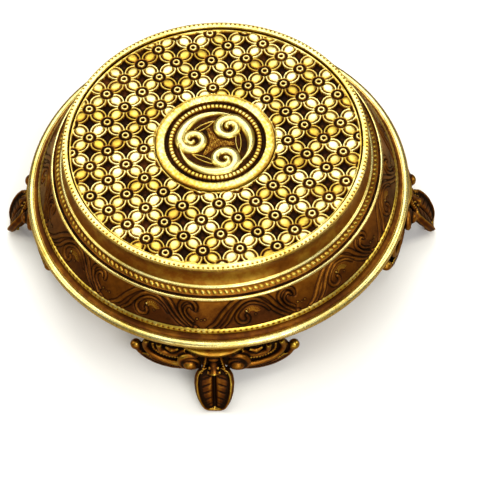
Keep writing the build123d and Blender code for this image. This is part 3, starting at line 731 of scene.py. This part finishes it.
def leaf_toe():
    """The leaf: two veined halves beside a deep midrib, inside a raised border that closes at the lip."""
    ridge = curve_through(LEAF_RIDGE, 8)
    share = np.linspace(0, 1, len(ridge))
    half = np.interp(share, *zip(*LEAF_HALF_WIDTHS))
    tangent = np.gradient(ridge, axis=0)
    tangent /= np.linalg.norm(tangent, axis=1)[:, None]
    outward = np.stack([-tangent[:, 1], tangent[:, 0]], 1)
    length = np.linalg.norm(np.diff(ridge, axis=0), axis=1).sum()
    w, q = np.meshgrid(np.linspace(-1, 1, 57), share)
    to_side, to_end = (1 - np.abs(w)) * half[:, None] + 1e-3, (1 - q) * length * 0.5 + 0.2
    edge = (to_side**-3 + to_end**-3) ** (-1 / 3)
    field = smoothstep(1.9, 3.0, edge)
    vein = bump(((q * 8.5 - 0.9 * np.abs(w)) % 1) - 0.5, 0.09)
    midrib = 1.9 * bump(w * half[:, None], 0.35 + 0.75 * np.sin(math.pi * q[:, :1]))
    vein = 0.42 * vein * smoothstep(0.08, 0.2, np.abs(w))
    lobes = 0.35 * np.sin(math.pi * np.clip(np.abs(w), 0, 0.9)) - midrib - vein
    lift = 1.0 * bump(edge - 1.5, 0.7) + field * (lobes - 0.85) - 1.7 * np.clip(1 - edge / 1.3, 0, 1) ** 2

    def layer(height, width):
        x = ridge[:, :1] + outward[:, :1] * height
        z = ridge[:, 1:] + outward[:, 1:] * height
        return np.stack([x, width * half[:, None] * w, z], -1)

    return slab(layer(lift, 1.0), layer(-3.4 + 0 * w, 0.86))


def in_middle(line):
    """A line of radius and height, set in the foot's middle plane."""
    return np.column_stack([line[:, 0], 0 * line[:, 0], line[:, 1]])


def middle_parts():
    """The leg's core, its sole, and the bud over the leaf: a round top, a waist and two bars."""
    spine = curve_through(LEG_SPINE, 8)
    width = np.interp(spine[:, 1], [3, 8, 14, 20, 26, 31], [2.6, 2.9, 3.3, 3.8, 4.0, 4.8])
    sole = np.array([[[x, y, 0.0] for y in (-2.6, 2.6)] for x in (103.7, 107.5)])
    column = curve_through([(95.0, 29.0), (95.6, 26.0), (97.2, 23.0), (99.6, 20.6)], 6)
    bars = [
        tube([(x, y, z) for y in np.linspace(-wide, wide, 7)], 0.95, 10)
        for x, z, wide in ((97.9, 23.7, 2.5), (99.3, 21.9, 3.1))
    ]
    return [
        tube(in_middle(spine), width),
        slab(sole + (0, 0, 1.2), sole),
        ball((95.6, 0, 28.4), 1.9, (0.8, 1.35, 0.9)),
        tube(in_middle(column), np.linspace(1.5, 2.6, len(column))),
        *bars,
    ]


def scroll_parts(side):
    """On one side of the bud: a beaded strip, then a ball inside a C-scroll."""
    strip = curve_through([(94.8, 3.4, 29.6), (95.8, 3.9, 26.6), (97.4, 4.9, 23.4), (99.0, 6.2, 20.6)], 8)
    strip[:, 1] *= side
    beads = [ball(point + (0.75, 0.1 * side, 0.2), 0.62) for point in strip[1::3]]
    eye = np.array([95.6, side * 11.4, 23.9])
    t = np.linspace(0, 1, 76)
    turn = math.radians(118) - 1.5 * TAU * t
    reach = 5.0 - 1.9 * t
    loop = np.stack([
        eye[0] - 1.4 * (1 - t) ** 2 - 0.6,
        eye[1] + side * reach * np.cos(turn),
        eye[2] - 0.5 + reach * np.sin(turn),
    ], 1)
    arm = curve_through([loop[0], (93.0, side * 6.8, 30.2), (91.6, side * 4.0, 31.2)], 8)
    return [
        tube(strip, 0.85, 10), *beads, ball(eye + (0.3, 0, 0.3), 3.0, (1.0, 1.12, 0.95)),
        tube(loop, np.interp(t, [0, 0.5, 1], [1.7, 1.55, 1.0])), tube(arm, 1.6, 12),
    ]


def wing_parts(side):
    """The wing: three nested scrolls, a hatched hem, a row of beads and a leaf between them."""
    hem = wall_line(WING_HEM, 91.8, side)
    outer = wall_line(WING_OUTER, 92.4, side)
    hem_width = np.interp(np.linspace(0, 1, len(hem)), [0, 0.1, 0.6, 1], [1.9, 1.4, 1.7, 2.0])
    parts = [
        tube(hem, hem_width), tube(outer, np.linspace(1.3, 1.75, len(outer))),
        tube(wall_line(WING_INNER, 92.6, side), 1.35), ball(on_wall(side * 24.6, 91.4, 21.4), 2.7),
    ]
    for point, other in zip(resample(hem, 26)[3:22], resample(outer, 34)[11:30]):
        middle, end = (point + other) / 2, other * 0.6 + point * 0.4
        hatch = [point + (0.9, 0, 0), middle + (1.2, 0, 0), end + (0.9, 0, 0)]
        parts.append(tube(hatch, 0.42, 8))
    parts += [ball(point, 0.75) for point in resample(wall_line(WING_BEADS, 91.6, side), 13)]
    leaf = wall_line([(14.6, 28.6), (12.6, 27.4), (10.6, 28.8)], 92.0, side)
    width = np.interp(np.linspace(0, 1, len(leaf)), [0, 0.5, 1], [0.6, 1.5, 0.6])
    return [*parts, tube(leaf, width, 12)]


def plate(span, inner, outer, floor):
    """Curved plate on the pan's wall, between two radii and no lower than a floor height."""
    angles = np.linspace(-span, span, 80)
    low = np.maximum(np.interp(np.abs(angles), *zip(*PLATE_HEM)), floor)
    top = np.interp(np.abs(angles), *zip(*PLATE_TOP))
    steps = np.linspace(0, 1, 12)
    edges = list(zip(angles, top, low))
    return slab(*(
        np.array([[on_wall(a, r, hi + (lo - hi) * k) for k in steps] for a, hi, lo in edges])
        for r in (outer, inner)
    ))


def foot_parts():
    """The closed shapes that a cast foot is made of, for a foot that stands on +X."""
    sides = [part for side in (-1, 1) for part in scroll_parts(side) + wing_parts(side)]
    backing = [plate(23.4, FLANGE_R - 4.9, 91.2, 0), plate(19.0, WALL_CLEAR, 90.4, 25.6)]
    return [knee_cap(), leaf_toe(), *middle_parts(), *sides, *backing]


def curvature_tone(mesh):
    """Tone from shape: hollows dark, ridges bright, judged against two widths of surroundings."""
    n = len(mesh.vertices)
    co, normal = vertex_values(mesh, "co"), vertex_values(mesh, "normal")
    edges = np.zeros(len(mesh.edges) * 2, np.int64)
    mesh.edges.foreach_get("vertices", edges)
    a, b = edges.reshape(-1, 2).T
    count = np.maximum(np.bincount(a, minlength=n) + np.bincount(b, minlength=n), 1)

    def average(values):
        return np.stack([(np.bincount(a, v[b], n) + np.bincount(b, v[a], n)) / count for v in values.T], 1)

    blurred, tone = co, np.full(n, 0.3)
    for rounds, weight in ((8, 2.6), (40, 0.6)):
        for _ in range(rounds):
            blurred = average(blurred)
        bulge = ((co - blurred) * normal).sum(1, keepdims=True) / MM
        tone += weight * average(bulge)[:, 0]
    return np.clip(tone, 0, 1)


def make_foot_mesh():
    """One foot on +X: its parts joined, remeshed into one skin, trimmed to the pan and toned."""
    verts, faces, offset = [], {3: [], 4: []}, 0
    for part_verts, part_faces in foot_parts():
        verts.append(part_verts)
        for f in part_faces:
            faces[f.shape[1]].append(f + offset)
        offset += len(part_verts)
    foot = mesh_object("foot_cast", np.vstack(verts), [np.vstack(faces[4]), np.vstack(faces[3])])
    face_outward(foot.data)
    select(foot)
    foot.data.remesh_voxel_size = FOOT_VOXEL * MM
    bpy.ops.object.voxel_remesh()
    settle = foot.modifiers.new("settle", "SMOOTH")
    settle.factor = 0.4
    settle.iterations = 2
    bpy.ops.object.modifier_apply(modifier="settle")
    foot.select_set(False)
    # the casting stays outside the pan, under the flange and above the ground
    co = vertex_values(foot.data, "co", np.float32) / MM
    radius = np.hypot(co[:, 0], co[:, 1])
    push = np.where(radius < WALL_CLEAR, WALL_CLEAR / np.maximum(radius, 1), 1)
    co[:, 0] *= push
    co[:, 1] *= push
    co[:, 2] = np.clip(co[:, 2], 0, UNDER_FLANGE)
    foot.data.vertices.foreach_set("co", (co * MM).astype(np.float32).ravel())
    foot.data.update()
    foot.data.polygons.foreach_set("use_smooth", np.ones(len(foot.data.polygons), bool))
    # the edge of the knee cap and the leaf's lip are rubbed bright
    x, y, z = co.T
    cap = (np.hypot(x - CAP_CENTRE, y) > CAP_R - 4) & (z > LID_BOTTOM - 4.6) & (np.abs(y) < 14)
    lip = (x > 105.4) & (z < 2.8) & (z > 0.05)
    set_tone(foot.data, np.maximum(curvature_tone(foot.data), cap | lip))
    return foot.data


# ---- cups and spoon
def make_cup(name, centre):
    cup = Turned(168)
    base, top = cup_low[2], cup_high[2]
    rim = cup_high[0]
    mouth = rim - 1.3
    roll = round_arc((rim - 0.75, top - 0.75), 0.75, 115, -150, 16)

    def hammered(angle, along):
        ring = np.floor(along / 3.2)
        cell = (angle / TAU * 34 + 0.5 * (ring % 2)) % 1 - 0.5
        d2 = (cell * 4.3) ** 2 + ((along % 3.2) - 1.6) ** 2
        hold = smoothstep(1.5, 3, along) * smoothstep(along[-1, 0] - 4.5, along[-1, 0] - 6, along)
        line = bump(along - 2.2, 0.3) + bump(along - 4.0, 0.3)
        dent = -0.22 * bump(np.sqrt(d2), 1.5) * hold * smoothstep(4.6, 6, along)
        return dent - 0.2 * line, 0.8 - 0.5 * line

    cup.band([(0, base + 0.9), (14.9, base + 0.9)], 10, 0.7)
    wall = [(mouth - 0.9, top - 1.6), (mouth - 0.9, top - 0.5)]
    cup.band([(14.9, base + 0.9), (16.2, base + 1.4), (17.1, base + 2.9), *wall], 22, 0.72)
    cup.band([(mouth - 0.9, top - 0.5), (mouth - 0.4, top), roll[0]], 5, 0.9)
    cup.band(roll, 16, 1.0)
    cup.band([roll[-1], (18, base + 2.5)], 60, 0.75, hammered)
    cup.band([(18, base + 2.5), (17.3, base + 0.7), (15.5, base)], 6, 0.6)
    cup.band([(15.5, base), (14.6, base), (13.8, base + 0.35), (0, base + 0.35)], 14, 0.5, last=True)
    return cup.build(name, centre, poles=True)


def make_spoon():
    """Round-bowled spoon with a tapering stem and a leaf-shaped end, leaning as the CAD spoon leans."""
    lean = math.radians(38.8)
    bowl_r, depth, wall = 7.5, 4.0, 0.8
    sphere = (bowl_r**2 + depth**2) / (2 * depth)
    origin = np.array([-7.6, 0.0, cup_low[2] + 1.0 + sphere + wall - (sphere - depth) * math.cos(lean)])
    bowl = Turned(96)
    angles = np.linspace(0, math.asin(bowl_r / sphere), 18)
    inner = [(sphere * math.sin(a), sphere - depth - sphere * math.cos(a)) for a in angles]
    out = sphere + wall
    outer_end = math.acos((sphere - depth) / out)
    outer = [(out * math.sin(a), sphere - depth - out * math.cos(a)) for a in np.linspace(outer_end, 0, 18)]
    bowl.band(inner, 18, 0.85)
    bowl.band([inner[-1], ((inner[-1][0] + outer[0][0]) / 2, 0.12), outer[0]], 5, 1.0)
    bowl.band(outer, 18, 0.75, last=True)
    spoon = bowl.build("brass_spoon", poles=True)
    # stem: a grid along and across, with a groove down its middle
    length = np.linspace(6.9, 52.3, 90)
    end = 50.3
    leaf = 1.1 * np.sqrt(np.clip(1 - ((length - end) / 2.2) ** 2, 0, 1)) * (length > end - 2.2)
    half = 1.4 - 0.4 * (length - 7.5) / 45 + leaf
    half = np.where(length > 52.0, half * 0.6, half)
    across = np.linspace(-1, 1, 13)
    top, under = [], []
    for l, h in zip(length, half):
        top.append([(l, h * w, -0.28 * w**2 - 0.22 * math.exp(-((w / 0.3) ** 2))) for w in across])
        under.append([(l, h * w * 0.9, -1.0 + 0.18 * w**2) for w in across])
    verts, faces = slab(np.array(top), np.array(under))
    stem = mesh_object("spoon_stem", verts, [np.vstack(faces)], np.full(len(verts), 0.85))
    face_outward(stem.data)
    select(spoon, stem)
    bpy.ops.object.join()
    spoon.select_set(False)
    ca, sa = math.cos(lean), math.sin(lean)
    turn = Matrix(((ca, 0, -sa, origin[0] * MM), (0, 1, 0, 0), (sa, 0, ca, origin[2] * MM), (0, 0, 0, 1)))
    spoon.data.transform(turn)
    return spoon


# ---- materials
class Nodes:
    """Short way to add and link the shader nodes of a material or of the world."""

    def __init__(self, owner):
        owner.use_nodes = True
        self.tree = owner.node_tree
        self.shader = self.tree.nodes.get("Principled BSDF")

    def feed(self, node, inputs):
        """Sets each input of a node to a value or to the output of another node."""
        for key, value in inputs.items():
            if isinstance(value, bpy.types.NodeSocket):
                self.tree.links.new(value, node.inputs[key])
            else:
                node.inputs[key].default_value = value

    def add(self, kind, inputs=None, **settings):
        node = self.tree.nodes.new(kind)
        for key, value in settings.items():
            setattr(node, key, value)
        self.feed(node, inputs or {})
        return node

    def math(self, operation, a, b=0.0, clamp=False):
        return self.add("ShaderNodeMath", {0: a, 1: b}, operation=operation, use_clamp=clamp).outputs[0]

    def noise(self, vector, scale, detail, roughness):
        inputs = {"Vector": vector, "Scale": scale, "Detail": detail, "Roughness": roughness}
        return self.add("ShaderNodeTexNoise", inputs).outputs["Fac"]

    def ramp(self, factor, stops):
        node = self.add("ShaderNodeValToRGB", {"Fac": factor})
        element = node.color_ramp.elements
        while len(element) < len(stops):
            element.new(0.5)
        for e, (at, colour) in zip(element, stops):
            e.position = at
            e.color = (*colour, 1)
        return node.outputs["Color"]

    def range(self, value, low, high, to_low, to_high):
        limits = {"From Min": low, "From Max": high, "To Min": to_low, "To Max": to_high}
        return self.add("ShaderNodeMapRange", {"Value": value, **limits}).outputs["Result"]


# colours of the brass, from the recesses up to what is rubbed bright
BLACK = (0.012, 0.005, 0.002)
UMBER = (0.08, 0.023, 0.004)
BROWN = (0.26, 0.1, 0.011)
GOLD = (0.52, 0.37, 0.05)
BRIGHT = (0.79, 0.71, 0.32)


def antique_brass(name, dark=0.0, rough=0.24, tone_scale=1.0, has_tone=True):
    """Antique brass: black in the recesses, brown on the ground, rubbed bright on what stands proud."""
    material = bpy.data.materials.new(name)
    m = Nodes(material)
    place = m.add("ShaderNodeTexCoord").outputs["Object"]
    cloud = m.noise(place, 45.0, 6.0, 0.6)
    grain = m.noise(place, 900.0, 3.0, 0.6)
    spots = m.noise(place, 240.0, 4.0, 0.7)
    drawn_out = {"Vector": place, "Rotation": (0.3, 0.2, 0.7), "Scale": (1.0, 14.0, 14.0)}
    scratch = m.noise(m.add("ShaderNodeMapping", drawn_out).outputs["Vector"], 170.0, 4.0, 0.65)
    if has_tone:
        tone = m.add("ShaderNodeAttribute", attribute_name="tone").outputs["Fac"]
    else:
        tone = m.range(m.add("ShaderNodeNewGeometry").outputs["Pointiness"], 0.44, 0.53, 0.25, 1.0)
    tone = m.math("MULTIPLY", tone, tone_scale)
    tone = m.math("ADD", tone, m.range(cloud, 0.3, 0.7, -0.13 - dark, 0.13 - dark))
    tone = m.math("ADD", tone, m.range(spots, 0.35, 0.75, 0.04, -0.1), clamp=True)
    polish = m.range(tone, 0.1, 0.9, rough + 0.26, rough)
    polish = m.math("ADD", polish, m.range(scratch, 0.35, 0.7, -0.05, 0.09))
    polish = m.math("ADD", polish, m.range(grain, 0.3, 0.7, -0.03, 0.05), clamp=True)
    height = m.math("ADD", m.math("MULTIPLY", spots, 0.6), m.math("MULTIPLY", grain, 0.35))
    height = m.math("ADD", height, m.math("MULTIPLY", scratch, 0.25))
    fine = m.add("ShaderNodeBump", {"Height": height, "Strength": 0.1, "Distance": 0.0002})
    m.feed(m.shader, {
        "Base Color": m.ramp(tone, [(0.0, BLACK), (0.2, UMBER), (0.42, BROWN), (0.68, GOLD), (0.95, BRIGHT)]),
        "Metallic": m.range(tone, 0.0, 0.25, 0.6, 1.0),
        "Specular IOR Level": m.range(tone, 0.1, 0.45, 0.03, 0.5),
        "Roughness": polish,
        "Normal": fine.outputs["Normal"],
    })
    return material


def dress(obj, material):
    obj.data.materials.clear()
    obj.data.materials.append(material)


# ---- build the object
# how each material differs from the plain antique brass
BRASSES = {
    "lid_brass": {},
    "lattice_brass": {"rough": 0.27},
    "medallion_brass": {"rough": 0.27},
    "pan_brass": {"dark": 0.05, "rough": 0.32},
    "foot_brass": {"dark": 0.1, "rough": 0.19, "tone_scale": 0.66},
    "cup_brass": {"rough": 0.2},
    "spoon_brass": {"rough": 0.18},
    "screw_brass": {"rough": 0.28, "has_tone": False},
}
brass = {name: antique_brass(name, **looks) for name, looks in BRASSES.items()}


def place(obj, body, node, slot):
    """Gives a piece its brass and sets it on a body in place of a CAD node."""
    dress(obj, brass[slot])
    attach(obj, body)
    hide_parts(node)


for make, body, node, slot in (
    (make_lid_shell, "lid", "lid_shell", "lid_brass"),
    (make_lattice_panel, "lid", "lid_lattice_panel", "lattice_brass"),
    (make_medallion, "lid", "lid_medallion", "medallion_brass"),
    (make_pan, "base", "base_pan", "pan_brass"),
    (make_spoon, "spoon", "spice_spoon", "spoon_brass"),
):
    place(make(), body, node, slot)

foot_mesh = make_foot_mesh()
bpy.data.objects.remove(bpy.data.objects["foot_cast"])
for side, degrees in (("right", 0), ("back", 90), ("left", 180), ("front", -90)):
    mesh = foot_mesh.copy()
    mesh.transform(Matrix.Rotation(math.radians(degrees), 4, "Z"))
    foot = new_object(f"foot_{side}_cast", mesh)
    place(foot, "base", f"foot_{side}", "foot_brass")

for node in sorted(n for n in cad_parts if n.startswith("spice_cup")):
    low, high = corner_mm(node)
    centre = tuple((low[:2] + high[:2]) / 2)
    cup = make_cup(node.replace("spice", "brass"), centre)
    place(cup, node.replace("spice_", ""), node, "cup_brass")

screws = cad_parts["foot_screws"]
dress(screws, brass["screw_brass"])


# ---- stage, light and camera
CAMERA_AZIMUTH = math.radians(-85.1)
CAMERA_ELEVATION = math.radians(53.2)
CAMERA_ROLL = math.radians(4.08)
CAMERA_DISTANCE = 0.967  # metres
CAMERA_LENS = 144.2  # millimetres
AIM_RIGHT, AIM_UP = 0.01742, -0.0546
BACKDROP = (0.93, 0.93, 0.92)
LIGHT_AIM = Vector((0, 0, 0.05))


def soft_box(name, azimuth, elevation, distance, size, power, tint=(1, 1, 1)):
    """Area light that faces the box: degrees round it and above the ground, then metres and watts."""
    light = bpy.data.lights.new(name, "AREA")
    light.shape = "RECTANGLE"
    light.size, light.size_y = size
    light.energy = power
    light.color = tint
    obj = new_object(name, light)
    a, e = math.radians(azimuth), math.radians(elevation)
    spot = Vector((math.cos(a) * math.cos(e), math.sin(a) * math.cos(e), math.sin(e))) * distance
    obj.location = spot + LIGHT_AIM
    obj.rotation_euler = spot.to_track_quat("Z", "Y").to_euler()


def make_floor():
    """Pale ground that reflections see darker and that runs into the backdrop far from the box."""
    mesh = bpy.data.meshes.new("floor")
    reach = 3.0
    corners = [(-reach, -reach, 0), (reach, -reach, 0), (reach, reach, 0), (-reach, reach, 0)]
    mesh.from_pydata(corners, [], [(0, 1, 2, 3)])
    floor = new_object("floor", mesh)
    material = bpy.data.materials.new("pale_floor")
    m = Nodes(material)
    m.feed(m.shader, {"Base Color": (*BACKDROP, 1), "Roughness": 0.9})
    dim = m.add("ShaderNodeBsdfDiffuse", {"Color": (0.34, 0.24, 0.13, 1)})
    path = m.add("ShaderNodeLightPath")
    glossy = path.outputs["Is Glossy Ray"]
    mix = m.add("ShaderNodeMixShader", {0: glossy, 1: m.shader.outputs[0], 2: dim.outputs[0]})
    spot = m.add("ShaderNodeTexCoord").outputs["Object"]
    out = m.add("ShaderNodeVectorMath", {0: spot}, operation="LENGTH").outputs["Value"]
    limits = {"Value": out, "From Min": 0.2, "From Max": 0.9}
    far = m.add("ShaderNodeMapRange", limits, interpolation_type="SMOOTHSTEP")
    seen = m.math("MULTIPLY", far.outputs["Result"], path.outputs["Is Camera Ray"])
    backdrop = m.add("ShaderNodeEmission", {"Color": (*BACKDROP, 1)})
    mix = m.add("ShaderNodeMixShader", {0: seen, 1: mix.outputs[0], 2: backdrop.outputs[0]})
    m.feed(m.tree.nodes["Material Output"], {"Surface": mix.outputs[0]})
    floor.data.materials.append(material)


def make_world():
    """Plain backdrop for the camera; reflections see a room that is dark below and grey above."""
    world = bpy.data.worlds.new("studio")
    bpy.context.scene.world = world
    m = Nodes(world)
    m.tree.nodes.clear()
    view = m.add("ShaderNodeTexCoord").outputs["Generated"]
    height = m.add("ShaderNodeSeparateXYZ", {0: view}).outputs["Z"]
    shade = m.ramp(height, [(0.0, (0.05, 0.03, 0.015)), (0.9, (0.5, 0.5, 0.5))])
    room = m.add("ShaderNodeBackground", {"Color": shade}).outputs[0]
    seen = m.add("ShaderNodeBackground", {"Color": (*BACKDROP, 1)}).outputs[0]
    camera_ray = m.add("ShaderNodeLightPath").outputs["Is Camera Ray"]
    mix = m.add("ShaderNodeMixShader", {0: camera_ray, 1: room, 2: seen})
    m.add("ShaderNodeOutputWorld", {"Surface": mix.outputs[0]})


def make_camera():
    ca, sa = math.cos(CAMERA_AZIMUTH), math.sin(CAMERA_AZIMUTH)
    ce, se = math.cos(CAMERA_ELEVATION), math.sin(CAMERA_ELEVATION)
    back = Vector((ca * ce, sa * ce, se))
    right = Vector((-sa, ca, 0))
    up = back.cross(right)
    cr, sr = math.cos(CAMERA_ROLL), math.sin(CAMERA_ROLL)
    x_axis = cr * right - sr * up
    y_axis = sr * right + cr * up
    spot = Vector((0, 0, LID_TOP * MM)) + back * CAMERA_DISTANCE
    # the camera stands as if it looked at the lid's top, then turns until the whole box is framed
    turn = back.rotation_difference(back - AIM_RIGHT * x_axis - AIM_UP * y_axis)
    x_axis, y_axis, back = turn @ x_axis, turn @ y_axis, turn @ back
    data = bpy.data.cameras.new("camera")
    data.lens = CAMERA_LENS
    data.sensor_width = 36
    camera = new_object("camera", data)
    matrix = Matrix((x_axis, y_axis, back)).transposed().to_4x4()
    matrix.translation = spot
    camera.matrix_world = matrix
    bpy.context.scene.camera = camera


make_floor()
make_world()
make_camera()
soft_box("back_sky", 100, 56, 1.1, (0.8, 0.62), 6.0, tint=(1, 0.98, 0.9))
soft_box("overhead", -85, 82, 1.1, (0.9, 0.5), 4.6, tint=(1, 0.98, 0.9))
soft_box("front_key", -70, 42, 1.1, (0.5, 0.35), 5)
soft_box("front_low", -85, 6, 1.0, (1.1, 0.3), 2.5, tint=(1, 0.95, 0.82))
soft_box("left_fill", 180, 35, 1.2, (0.5, 0.8), 4, tint=(1, 0.94, 0.72))
soft_box("right_fill", 10, 35, 1.2, (0.4, 0.8), 4, tint=(1, 0.94, 0.72))
bpy.context.scene.view_settings.view_transform = "Standard"
